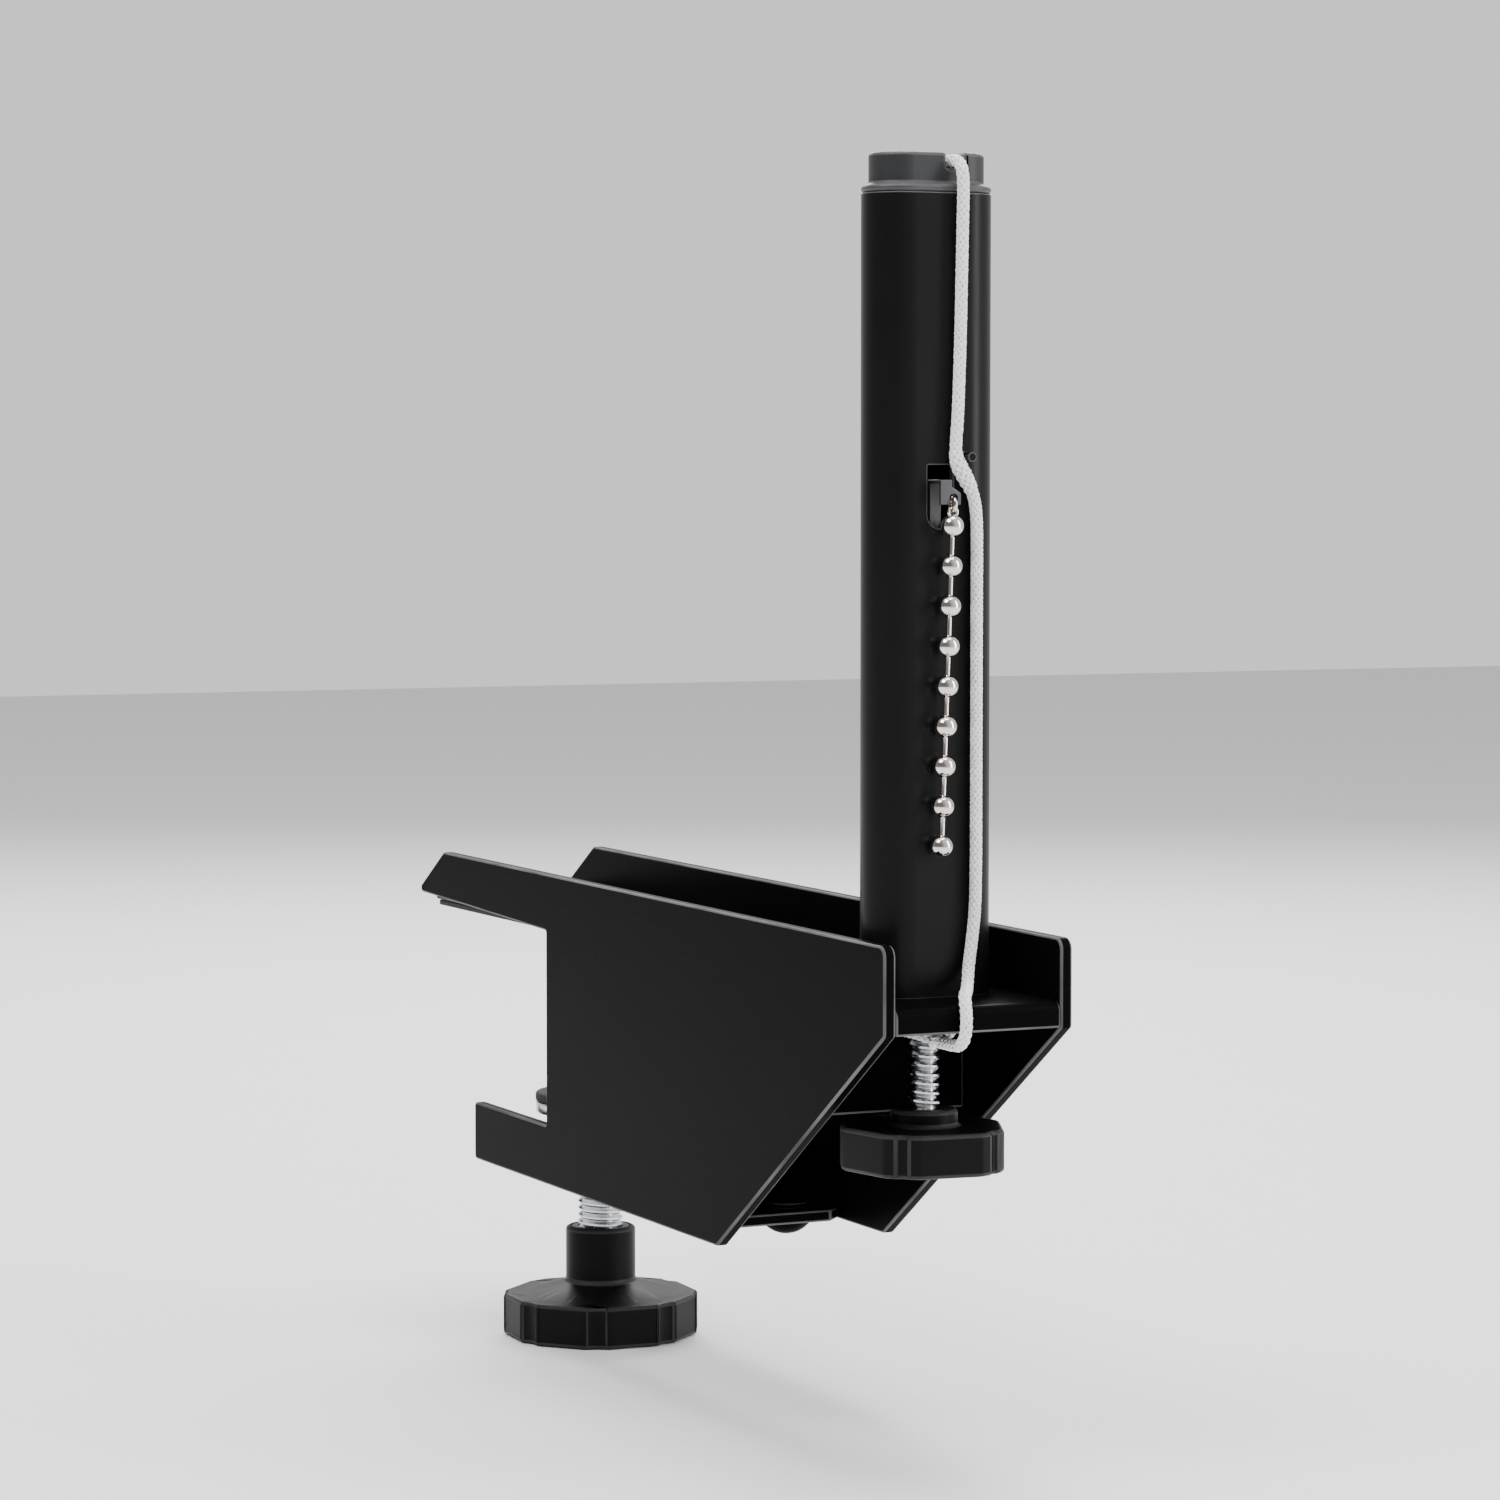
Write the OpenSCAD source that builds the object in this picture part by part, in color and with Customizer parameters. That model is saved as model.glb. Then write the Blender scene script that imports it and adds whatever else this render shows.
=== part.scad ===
// Table tennis net clamp: a folded sheet bracket that grips the edge of a table, a post that
// carries the net, and the two screws that set the grip and the height of the net.
// Origin: the plane of the table top meets the table's side edge, midway between the side plates.
// +X points away from the table, +Y runs along the table's edge, +Z is up.

/* [Bracket] */
// Width across the outer faces of the two side plates
bracket_w = 40; // [38:1:48]
// Thickness of the bracket's sheet
plate_t = 2.5; // [2:0.25:3]
// How far the upper jaw reaches in over the table
jaw_reach = 77.5; // [60:0.5:90]
// How far the lower arm reaches in under the table
arm_reach = 41.5; // [36:0.5:52]
// Height of the jaw opening
jaw_gap = 42.5; // [36:0.5:52]
// Height of the lower arm
arm_h = 13; // [10:0.5:16]
// Height of the side plates above the table top
side_h = 12; // [9:0.5:16]
// Distance from the post's centre to the outer end of the bracket
platform_out = 22.5; // [20:0.5:30]
// Distance from the table edge to the bottom corner of the side plates
corner_out = 90.5; // [80:0.5:105]
// Distance from the table edge to the outer edge of the lower jaw plate
lower_plate_out = 72.5; // [60:0.5:78]
// Height of the folded lip at the end of the platform
lip_h = 5; // [4:0.5:7]
// Height of the slanted inner end of the upper jaw above the table top
jaw_lift = 2.8; // [2:0.2:4]

/* [Rubber pads] */
// Thickness of the rubber strip under the upper jaw
jaw_pad_t = 1.2; // [1:0.1:2]
// Thickness of the rubber strip against the table's edge
stop_pad_t = 1; // [1:0.25:2.5]

/* [Post] */
// Distance from the table edge to the post's centre
post_out = 143; // [136:0.5:156]
// Width of the post along the table's edge
post_w = 26; // [24:0.5:28]
// Thickness of the post in the direction of the net
post_t = 15; // [14:0.5:18]
// Wall thickness of the post
post_wall = 1.6; // [1.2:0.1:2]
// Height of the post's tube above the platform
tube_h = 153; // [140:1:170]
// Width of the slot that takes the edge of the net
net_slot_w = 5; // [4.6:0.2:6]
// Thickness of the cap's flange
cap_flange = 1.5; // [1:0.25:2.5]
// Height of the cap above its flange
cap_h = 6.1; // [5.5:0.1:9]
// Height that the height screw can lift the post
lift = 10; // [6:1:12]

/* [Height screw] */
// Diameter of the height screw
height_screw_d = 6; // [5:0.5:7]
// Width of the height knob across its round outline
height_knob_d = 32.4; // [28:0.2:36]
// Thickness of the height knob's rim
height_knob_h = 8.4; // [7:0.2:10]
// Depth of the height knob's rim below the platform
height_knob_drop = 25.3; // [24:0.1:32]

/* [Clamp screw] */
// Diameter of the clamp screw
clamp_screw_d = 10; // [8:0.5:12]
// Distance from the table edge in to the clamp screw
clamp_in = 15.5; // [15:0.5:20]
// Depth of the top of the pressure pad below the table top, as drawn
pad_drop = 38; // [36:0.5:40]
// Width of the pressure pad
pad_d = 29; // [24:0.5:30]
// Gap between the lower jaw and the knob's hub, as drawn
hub_gap = 12.8; // [12.5:0.1:16]
// Width of the clamp knob across its round outline
clamp_knob_d = 43.6; // [38:0.2:50]
// Thickness of the clamp knob's rim
clamp_knob_h = 9.2; // [7:0.2:12]

/* [Cord and chain] */
// Diameter of the cord
cord_d = 2.5; // [2:0.1:2.6]
// Diameter of a bead of the chain
bead_d = 4.4; // [4:0.1:4.8]
// Distance from one bead to the next
bead_pitch = 7.6; // [6.5:0.1:8.5]
// Number of beads
bead_count = 9; // [5:1:10]
// Angle at which the chain hangs
chain_lean = 2; // [0:0.5:3]

/* [Hidden] */

$fn = 64;
eps = 0.01;
run_clear = 0.05;      // radial clearance of a shaft that turns or slides in its bore
slide_clear = 0.3;     // gap beside a sliding block
face_gap = 0.05;       // end play between a shoulder and its seat
arc_steps = 6;

inner_w = bracket_w - 2 * plate_t;
bracket_out = post_out + platform_out;
bottom_z = -(jaw_gap + arm_h);
stop_x = stop_pad_t;
slot_back_x = stop_x;
stop_back_x = stop_x + plate_t;
jaw_slant = 17;
jaw_plate_in = 6;      // from the jaw's tip to the end of its plate
jaw_pad_in = 8;
stop_low_gap = 1;
edge_pad_low = 6;
edge_pad_top = 4;
jaw_tip_h = side_h + 1;
plate_edge_lift = 0.3;
corner_r = 2.2;
clamp_x = -clamp_in;
lower_top_z = bottom_z + plate_t;

knob_gap = 0.8;
web_x = post_out - height_knob_d / 2 - knob_gap - plate_t;
web_depth = 25;
relief = 3;

rivet_x = lower_plate_out - 8;
rivet_y = 8;
rivet_d = 5;
rivet_head_d = 11;
rivet_head_h = 3.2;
rivet_tail_d = rivet_d + 4;
rivet_tail_h = 1.2;

clamp_r = clamp_screw_d / 2;
nut_h = 5;
nut_af = 1.7 * clamp_screw_d;
pad_rubber_t = 2;
pad_plate_t = 2.5;
pad_seat_z = -pad_drop - pad_rubber_t;
pad_under_z = pad_seat_z - pad_plate_t;
pad_pin_d = 0.6 * clamp_screw_d;
pin_head_d = pad_pin_d + 2.6;
pin_head_h = 0.9;
clamp_insert_r = clamp_r + 1.4;
hub_top_z = bottom_z - hub_gap;
hub_d = clamp_screw_d + 5.6;
hub_h = 12.2;
cone_h = 2.8;
clamp_rim_z = hub_top_z - hub_h - cone_h;
clamp_lobes = 8;
clamp_flat_share = 0.96;
clamp_knob_turn = -3;    // angle at which the knob was left
clamp_groove_r = 4;
clamp_groove_out = 3.2;

hollow_w = post_w - 2 * post_wall;
hollow_t = post_t - 2 * post_wall;
post_face_x = post_out + post_t / 2;
cap_inset = 1.4;
cap_plug_h = 8;
groove_y = 3.2;
groove_w = 3.8;
groove_z = tube_h + cap_flange + 3;

guide_h = 40;
bush_d = height_screw_d + 3.2;
bush_h = 5;
height_r = height_screw_d / 2;
shoulder_z = guide_h + 4;
height_insert_r = height_r + 1.6;
height_insert_low = 5;  // how far the insert reaches down into the knob's rim
tip_d = 0.66 * height_screw_d;
tip_h = 8;
plug_h = 10;
plug_seat_h = 5.4;
clip_d = tip_d + 3;
clip_t = 0.8;
plug_pin_d = 3;
pin_sunk = 0.2;
pin_end_gap = 1;       // between the pin's inner end and the clip
guide_rivet_d = 3;
guide_rivet_head_d = 5;
guide_rivet_head_h = 0.8;
guide_rivet_y = bush_d / 2 + 3.2;
guide_rivet_h = 6;
height_rim_z = -height_knob_drop;
height_collar_h = 3.3;
height_collar_d = 13;
height_lobes = 5;
height_flat_share = 0.93; // width across the knob's flats, as a share of its round outline
height_knob_turn = -6;
height_groove_r = 1.2;
height_groove_out = 0.7;

key_y = -0.7;
key_w = 5.4;
key_low = 89.5;
key_top = 101.5;
lug_y = 0.7;           // line of the chain
lug_left_y = -2.1;
lug_w = 2.4;
lug_top_z = 98.7;
lug_foot_z = 84;
lug_t = 0.8;
lug_out = 2.1;
lug_hole_z = 95.2;
lug_hole_r = 0.9;
lug_end_z = 94;
chain_x = post_face_x + lug_out + lug_t / 2;
hook_ring_r = 1.2;
hook_wire_r = 0.35;
eye_ring_r = 0.9;
eye_wire_r = 0.3;
chain_pivot_z = lug_hole_z - 2 * hook_ring_r;
eye_drop = 0.2;
first_bead = bead_d / 2 + 0.6;
bead_bore_r = 0.7;
link_r = 0.6;
link_end = bead_d / 2 - 1.3;
peg_in = 1.2;           // from the edge of the post's flat face to the peg's centre
peg_y = (post_w - post_t) / 2 - peg_in;
peg_z = 103;
peg_d = 1.8;
peg_h = 3.6;
peg_rivet_h = 0.6;
peg_rivet_over = 0.6;

// The cord: out of the post's channel, over the cap's groove, down the outer face, bent past the
// peg, down past the platform's lip and in under it to the height screw.
cord_route = [
  [143, 0, 129], [141.5, 0, 133.5], [138, 0, 137], [134.9, 0, 140.2], [133.5, 0.4, 144.5],
  [133.5, 1.2, 149], [133.4, 2.2, 153.4], [134.1, 2.9, 157.2], [136.7, 3.2, 159], [140.5, 3.2, 159.1],
  [145.5, 3.2, 159.1], [149.7, 3.2, 158.9], [151.7, 3.2, 156.9], [152.1, 3.2, 153], [152.1, 3.1, 147],
  [152.1, 2.9, 137], [152.1, 2.7, 127], [152.1, 2.4, 117], [152.1, 2.1, 110], [152.1, 1.8, 106],
  [152.2, 1.8, 103.2], [152.4, 2.4, 101.2], [152.5, 3.4, 99.4], [152.4, 4.6, 97.4],
  [152.2, 5.6, 95.2], [152.1, 6.1, 92.4], [152.1, 6.3, 88], [152.1, 6.3, 76], [152.1, 6.3, 66],
  [152.1, 6.3, 56],
  [152.1, 6.3, 46], [152.1, 6.3, 36], [152.1, 6.3, 26], [152.1, 6.1, 17], [152.2, 5.4, 11],
  [152.9, 4.4, 6.2], [154.7, 3.2, 3.2], [158.1, 1.2, 2], [162.1, -1.2, 1.9], [165.3, -2.9, 1.5],
  [167.2, -3.6, -1.4], [167.1, -3.7, -4.9], [164.9, -3.6, -7.2], [161.1, -3.4, -7.7],
  [156.5, -3.4, -7.7]];
loop_route = [
  [152.9, -3.5, -7.4], [149.5, -4.6, -6.8], [145.7, -5.2, -6.6], [141.9, -4.9, -6.6],
  [139.1, -2.6, -6.6], [138.3, 0.8, -6.6], [139.9, 3.8, -6.6], [143.3, 4.9, -6.7],
  [146.7, 3.6, -7], [149.3, 1.2, -7.6], [152.1, -0.8, -8.2]];
knot_at = [154.7, -2.6, -7.8];

// Points of a rounded corner at b, between the neighbours a and c.
function unit(v) = v / norm(v);
function corner(a, b, c, r) =
  let (u = unit(a - b), w = unit(c - b), half = acos(u * w) / 2, run = r / tan(half),
       mid = b + unit(u + w) * (r / sin(half)), p = b + u * run, q = b + w * run)
  [for (i = [0 : arc_steps])
    mid + r * unit((p - mid) * (1 - i / arc_steps) + (q - mid) * (i / arc_steps))];
// An outline whose points are [x, y, radius]; a radius of 0 keeps the corner sharp.
function rounded(pts) = [
  for (i = [0 : len(pts) - 1])
    let (n = len(pts), a = pts[(i + n - 1) % n], b = pts[i], c = pts[(i + 1) % n])
    each (b[2] == 0 ? [[b[0], b[1]]]
      : corner([a[0], a[1]], [b[0], b[1]], [c[0], c[1]], b[2]))];

side_outline = rounded([
  [-jaw_reach, jaw_lift, 1], [slot_back_x, plate_edge_lift, 0], [slot_back_x, -jaw_gap, 0],
  [-arm_reach, -jaw_gap, 1], [-arm_reach, bottom_z, 1], [corner_out, bottom_z, 1.5],
  [bracket_out, -lip_h, 1], [bracket_out, side_h, corner_r],
  [-jaw_reach + jaw_slant, jaw_tip_h, corner_r]]);

// Sweep of a round cord along hand-chosen points.
cord_sides = 8;
function tangent(p, i) = unit(p[min(i + 1, len(p) - 1)] - p[max(i - 1, 0)]);
function across(v, t) = unit(v - (v * t) * t);
function cord_normals(p) =
  [for (i = 0, n = across([0, 1, 0], tangent(p, 0)); i < len(p);
        i = i + 1, n = i < len(p) ? across(n, tangent(p, i)) : n) n];
function cord_points(p, r) =
  let (ns = cord_normals(p))
  [for (i = [0 : len(p) - 1])
    let (t = tangent(p, i), n = ns[i], b = cross(t, n))
    for (k = [0 : cord_sides - 1])
      p[i] + r * (cos(360 * k / cord_sides) * n + sin(360 * k / cord_sides) * b)];
function cord_faces(rings) = concat(
  [[for (k = [0 : cord_sides - 1]) k]],
  [for (i = [0 : rings - 2]) for (k = [0 : cord_sides - 1])
    let (a = i * cord_sides + k, b = i * cord_sides + (k + 1) % cord_sides)
    each [[a, a + cord_sides, b], [b, a + cord_sides, b + cord_sides]]],
  [[for (k = [cord_sides - 1 : -1 : 0]) (rings - 1) * cord_sides + k]]);
module cord_tube(p, d) {
  polyhedron(points = cord_points(p, d / 2), faces = cord_faces(len(p)));
}

// Shared shapes.
module stadium(w, t) {
  square([t, w - t], center = true);
  translate([0, (w - t) / 2]) circle(d = t);
  translate([0, -(w - t) / 2]) circle(d = t);
}
module ring(big_r, wire_r) {
  rotate_extrude() translate([big_r, 0]) circle(r = wire_r, $fn = 24);
}
module side_plate(y) {
  translate([0, y, 0]) rotate([90, 0, 0]) linear_extrude(plate_t) polygon(side_outline);
}
module cross_plate(x0, x1, z0, z1) {
  translate([x0, -inner_w / 2, z0]) cube([x1 - x0, inner_w, z1 - z0]);
}
// A knob rim: a round plate with flats and a groove between each two flats.
module lobed_rim(d, h, lobes, flat_share, groove_r, groove_out) {
  difference() {
    intersection() {
      cylinder(d = d, h = h);
      rotate(180 / lobes) cylinder(d = d * flat_share / cos(180 / lobes), h = h, $fn = lobes);
    }
    for (i = [0 : lobes - 1])
      rotate(i * 360 / lobes + 180 / lobes) translate([d / 2 + groove_out, 0, -eps])
        cylinder(r = groove_r, h = h + 2 * eps);
  }
}

// Bracket.
module side_plate_near() { color([0.09, 0.09, 0.10]) side_plate(-bracket_w / 2 + plate_t); }
module side_plate_far() { color([0.09, 0.09, 0.10]) side_plate(bracket_w / 2); }
module upper_jaw_plate() {
  color([0.10, 0.10, 0.11])
    cross_plate(-jaw_reach + jaw_plate_in, stop_x, jaw_pad_t, jaw_pad_t + plate_t);
}
module upper_jaw_pad() {
  color([0.05, 0.05, 0.05]) cross_plate(-jaw_reach + jaw_pad_in, 0, 0, jaw_pad_t);
}
module edge_stop() {
  color([0.10, 0.10, 0.11])
    cross_plate(stop_x, stop_back_x, -jaw_gap + stop_low_gap, jaw_pad_t + plate_t);
}
module edge_pad() {
  color([0.05, 0.05, 0.05]) cross_plate(0, stop_x, -jaw_gap + edge_pad_low, -edge_pad_top);
}
module platform_plate() {
  color([0.16, 0.16, 0.17]) difference() {
    translate([0, inner_w / 2, 0]) rotate([90, 0, 0]) linear_extrude(inner_w)
      polygon(rounded([
        [stop_back_x, -plate_t, 0], [bracket_out - plate_t, -plate_t, 0],
        [bracket_out - plate_t, -lip_h, 0], [bracket_out, -lip_h, 0],
        [bracket_out, 0, 2], [stop_back_x, 0, 0]]));
    translate([post_out, 0, -plate_t - eps]) cylinder(d = bush_d, h = plate_t + 2 * eps);
    for (s = [-1, 1]) translate([post_out, s * guide_rivet_y, -plate_t - eps])
      cylinder(d = guide_rivet_d, h = plate_t + 2 * eps);
  }
}
module cross_web() {
  color([0.08, 0.08, 0.09]) cross_plate(web_x, web_x + plate_t, -web_depth, -plate_t);
}
module lower_jaw_plate() {
  half = inner_w / 2;
  color([0.10, 0.10, 0.11]) translate([0, 0, bottom_z]) difference() {
    linear_extrude(plate_t) polygon([
      [-arm_reach, -half], [lower_plate_out - relief, -half], [lower_plate_out, -half + relief],
      [lower_plate_out, half - relief], [lower_plate_out - relief, half], [-arm_reach, half]]);
    translate([clamp_x, 0, -eps]) cylinder(d = clamp_screw_d + 1, h = plate_t + 2 * eps);
    translate([rivet_x, rivet_y, -eps]) cylinder(d = rivet_d, h = plate_t + 2 * eps);
  }
}
module clamp_nut() {
  color([0.62, 0.62, 0.64]) translate([clamp_x, 0, lower_top_z]) difference() {
    cylinder(d = nut_af / cos(30), h = nut_h, $fn = 6);
    translate([0, 0, -eps]) cylinder(r = clamp_r + run_clear, h = nut_h + 2 * eps);
  }
}
module lower_rivet() {
  dome_r = (pow(rivet_head_d / 2, 2) + pow(rivet_head_h, 2)) / (2 * rivet_head_h);
  color([0.12, 0.12, 0.13]) translate([rivet_x, rivet_y, bottom_z]) {
    cylinder(d = rivet_d, h = plate_t);
    translate([0, 0, plate_t]) cylinder(d = rivet_tail_d, h = rivet_tail_h);
    intersection() {
      translate([0, 0, dome_r - rivet_head_h]) sphere(r = dome_r);
      translate([0, 0, -rivet_head_h - 1]) cylinder(d = rivet_head_d, h = rivet_head_h + 1);
    }
  }
}
module height_bush() {
  color([0.62, 0.62, 0.64]) translate([post_out, 0, -plate_t]) difference() {
    cylinder(d = bush_d, h = plate_t + bush_h);
    translate([0, 0, -eps]) cylinder(r = height_r + run_clear, h = plate_t + bush_h + 2 * eps);
  }
}
module post_guide() {
  color([0.15, 0.15, 0.16]) translate([post_out, 0, 0]) difference() {
    linear_extrude(guide_h) stadium(hollow_w - 2 * slide_clear, hollow_t - 2 * slide_clear);
    translate([0, 0, -eps]) cylinder(d = bush_d, h = bush_h + slide_clear);
    translate([0, 0, -eps]) cylinder(r = height_r + slide_clear, h = guide_h + 2 * eps);
    for (s = [-1, 1]) translate([0, s * guide_rivet_y, -eps])
      cylinder(d = guide_rivet_d, h = guide_rivet_h + eps);
  }
}
module guide_rivets() {
  color([0.55, 0.55, 0.57])
    for (s = [-1, 1]) translate([post_out, s * guide_rivet_y, -plate_t]) {
      cylinder(d = guide_rivet_d, h = plate_t + guide_rivet_h);
      translate([0, 0, -guide_rivet_head_h])
        cylinder(d = guide_rivet_head_d, h = guide_rivet_head_h);
    }
}

// Cord, tied under the platform.
module net_cord() { color([0.93, 0.93, 0.92]) cord_tube(cord_route, cord_d); }
module cord_loop() { color([0.93, 0.93, 0.92]) cord_tube(loop_route, cord_d); }
module cord_knot() {
  color([0.93, 0.93, 0.92]) translate(knot_at) hull() {
    translate([1.4, 0.6, 0]) sphere(d = 1.5 * cord_d, $fn = 20);
    translate([-1.2, -0.8, 0]) sphere(d = 1.5 * cord_d, $fn = 20);
  }
}

// Post.
module post_tube() {
  color([0.16, 0.16, 0.17]) translate([post_out, 0, 0]) difference() {
    linear_extrude(tube_h) difference() {
      stadium(post_w, post_t);
      stadium(hollow_w, hollow_t);
      translate([-post_t / 2 - 1, -net_slot_w / 2]) square([post_wall + 2, net_slot_w]);
    }
    translate([hollow_t / 2 - 1, 0, 0]) rotate([90, 0, 90]) linear_extrude(post_wall + 2) {
      translate([key_y, key_low + key_w / 2]) circle(d = key_w);
      translate([key_y - key_w / 2, key_low + key_w / 2])
        square([key_w, key_top - key_low - key_w / 2]);
    }
    translate([0, peg_y, peg_z]) rotate([0, 90, 0]) cylinder(d = peg_d, h = post_t);
    translate([0, post_w / 2 + eps, shoulder_z + plug_h / 2]) rotate([90, 0, 0])
      cylinder(d = plug_pin_d, h = post_w / 2);
  }
}
module post_cap() {
  color([0.32, 0.32, 0.33]) difference() {
    translate([post_out, 0, tube_h]) {
      translate([0, 0, -cap_plug_h]) linear_extrude(cap_plug_h) stadium(hollow_w, hollow_t);
      linear_extrude(cap_flange) stadium(post_w, post_t);
      translate([0, 0, cap_flange]) linear_extrude(cap_h)
        stadium(post_w - 2 * cap_inset, post_t - 2 * cap_inset);
    }
    translate([post_out - post_t, groove_y - groove_w / 2, groove_z])
      cube([2 * post_t, groove_w, cap_h]);
  }
}
module lift_plug() {
  color([0.15, 0.15, 0.16]) translate([post_out, 0, shoulder_z + face_gap]) difference() {
    linear_extrude(plug_h) stadium(hollow_w, hollow_t);
    translate([0, 0, -eps]) cylinder(d = tip_d + 2 * run_clear, h = plug_h + 2 * eps);
    translate([0, 0, plug_seat_h]) cylinder(d = clip_d + 1, h = plug_h);
    translate([0, post_w / 2, plug_h / 2 - face_gap]) rotate([90, 0, 0])
      cylinder(d = plug_pin_d, h = post_w / 2 - clip_d / 2 - pin_end_gap + pin_sunk);
  }
}
module plug_pin() {
  color([0.55, 0.55, 0.57]) translate([post_out, post_w / 2 - pin_sunk, shoulder_z + plug_h / 2])
    rotate([90, 0, 0]) cylinder(d = plug_pin_d, h = post_w / 2 - clip_d / 2 - pin_end_gap);
}
module chain_lug() {
  out_x = post_face_x + lug_out;
  in_x = post_out + hollow_t / 2;
  color([0.42, 0.42, 0.44]) difference() {
    intersection() {
      translate([0, key_w, 0]) rotate([90, 0, 0]) linear_extrude(2 * key_w) polygon([
        [out_x + lug_t, lug_end_z], [out_x + lug_t, lug_top_z], [in_x - lug_t, lug_top_z],
        [in_x - lug_t, lug_foot_z], [in_x, lug_foot_z], [in_x, lug_top_z - lug_t],
        [out_x, lug_top_z - lug_t], [out_x, lug_end_z]]);
      rotate([90, 0, 90]) linear_extrude(2 * post_out) polygon([
        [lug_left_y, lug_foot_z], [lug_left_y + lug_w, lug_foot_z],
        [lug_left_y + lug_w, lug_end_z], [lug_y + lug_hole_r + 0.6, lug_end_z],
        [lug_y + lug_hole_r + 0.6, lug_hole_z + 1], [lug_left_y + lug_w, lug_hole_z + 2.2],
        [lug_left_y + lug_w, lug_top_z], [lug_left_y, lug_top_z]]);
    }
    translate([post_face_x, lug_y, lug_hole_z]) rotate([0, 90, 0])
      cylinder(r = lug_hole_r, h = lug_out + 2 * lug_t);
  }
}
module cord_peg() {
  color([0.42, 0.42, 0.44]) translate([post_face_x, peg_y, peg_z]) rotate([0, 90, 0]) {
    translate([0, 0, -post_wall - peg_rivet_h]) cylinder(d = peg_d + peg_rivet_over, h = peg_rivet_h);
    translate([0, 0, -post_wall]) cylinder(d = peg_d, h = post_wall + peg_h);
  }
}

// Height screw and its knob.
module height_screw() {
  color([0.70, 0.70, 0.71]) translate([post_out, 0, 0]) {
    translate([0, 0, height_rim_z - height_insert_low])
      cylinder(r = height_r, h = shoulder_z - height_rim_z + height_insert_low);
    translate([0, 0, shoulder_z]) cylinder(d = tip_d, h = tip_h);
  }
}
module height_insert() {
  color([0.14, 0.14, 0.14]) translate([post_out, 0, height_rim_z - height_insert_low]) difference() {
    cylinder(r = height_insert_r, h = height_insert_low + height_collar_h);
    translate([0, 0, -eps])
      cylinder(r = height_r, h = height_insert_low + height_collar_h + 2 * eps);
  }
}
module height_knob() {
  color([0.12, 0.12, 0.13]) translate([post_out, 0, height_rim_z]) difference() {
    union() {
      translate([0, 0, -height_knob_h]) rotate(height_knob_turn)
        lobed_rim(height_knob_d, height_knob_h, height_lobes, height_flat_share, height_groove_r,
          height_groove_out);
      translate([0, 0, -1]) cylinder(d = height_collar_d, h = height_collar_h + 1);
    }
    translate([0, 0, -height_insert_low])
      cylinder(r = height_insert_r, h = height_insert_low + height_collar_h + 1);
  }
}
module height_clip() {
  color([0.35, 0.35, 0.37])
    translate([post_out, 0, shoulder_z + plug_seat_h + face_gap * 2]) difference() {
      cylinder(d = clip_d, h = clip_t);
      translate([0, 0, -eps]) cylinder(d = tip_d, h = clip_t + 2 * eps);
    }
}

// Pressure pad, clamp screw and its knob.
module pad_plate() {
  color([0.60, 0.60, 0.62]) translate([clamp_x, 0, pad_under_z]) difference() {
    cylinder(d = pad_d, h = pad_plate_t);
    translate([0, 0, -eps]) cylinder(d = pad_pin_d + 2 * run_clear, h = pad_plate_t + 2 * eps);
  }
}
module pad_rubber() {
  color([0.05, 0.05, 0.05]) translate([clamp_x, 0, pad_seat_z]) difference() {
    cylinder(d = pad_d, h = pad_rubber_t);
    translate([0, 0, -eps]) cylinder(d = pin_head_d + 1, h = pin_head_h + 0.3);
  }
}
module clamp_screw() {
  shank_h = pad_under_z - face_gap - hub_top_z + hub_h;
  color([0.70, 0.70, 0.71]) translate([clamp_x, 0, hub_top_z - hub_h]) {
    cylinder(d = clamp_screw_d, h = shank_h);
    translate([0, 0, shank_h]) cylinder(d = pad_pin_d, h = pad_plate_t + 2 * face_gap);
    translate([0, 0, shank_h + pad_plate_t + 2 * face_gap])
      cylinder(d = pin_head_d, h = pin_head_h);
  }
}
module clamp_insert() {
  color([0.14, 0.14, 0.14]) translate([clamp_x, 0, hub_top_z - hub_h]) difference() {
    cylinder(r = clamp_insert_r, h = hub_h);
    translate([0, 0, -eps]) cylinder(r = clamp_r, h = hub_h + 2 * eps);
  }
}
module clamp_knob() {
  color([0.12, 0.12, 0.13]) translate([clamp_x, 0, clamp_rim_z]) difference() {
    union() {
      translate([0, 0, -clamp_knob_h]) rotate(clamp_knob_turn)
        lobed_rim(clamp_knob_d, clamp_knob_h, clamp_lobes, clamp_flat_share, clamp_groove_r,
          clamp_groove_out);
      cylinder(d1 = clamp_knob_d - 8, d2 = hub_d, h = cone_h);
      translate([0, 0, cone_h]) cylinder(d = hub_d, h = hub_h);
    }
    translate([0, 0, cone_h]) cylinder(r = clamp_insert_r, h = hub_h + 1);
  }
}

// Bead chain.
module hung_chain() {
  translate([chain_x, lug_y, chain_pivot_z]) rotate([-chain_lean, 0, 0]) children();
}
module chain_hook() {
  color([0.75, 0.73, 0.72]) translate([chain_x, lug_y, lug_hole_z - hook_ring_r])
    rotate([90, 0, 0]) ring(hook_ring_r, hook_wire_r);
}
module chain_eye() {
  color([0.75, 0.73, 0.72]) hung_chain() translate([0, 0, -eye_drop])
    rotate([0, 90, 0]) ring(eye_ring_r, eye_wire_r);
}
module chain_beads() {
  color([0.75, 0.73, 0.72]) hung_chain() for (i = [0 : bead_count - 1])
    translate([0, 0, -first_bead - i * bead_pitch]) difference() {
      sphere(d = bead_d, $fn = 48);
      translate([0, 0, -bead_d]) cylinder(r = bead_bore_r, h = 2 * bead_d);
      if (i == 0) translate([0, 0, first_bead - eye_drop - eye_ring_r - eye_wire_r - 0.05])
        cylinder(r = eye_ring_r + eye_wire_r + 0.05, h = bead_d);
    }
}
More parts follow.
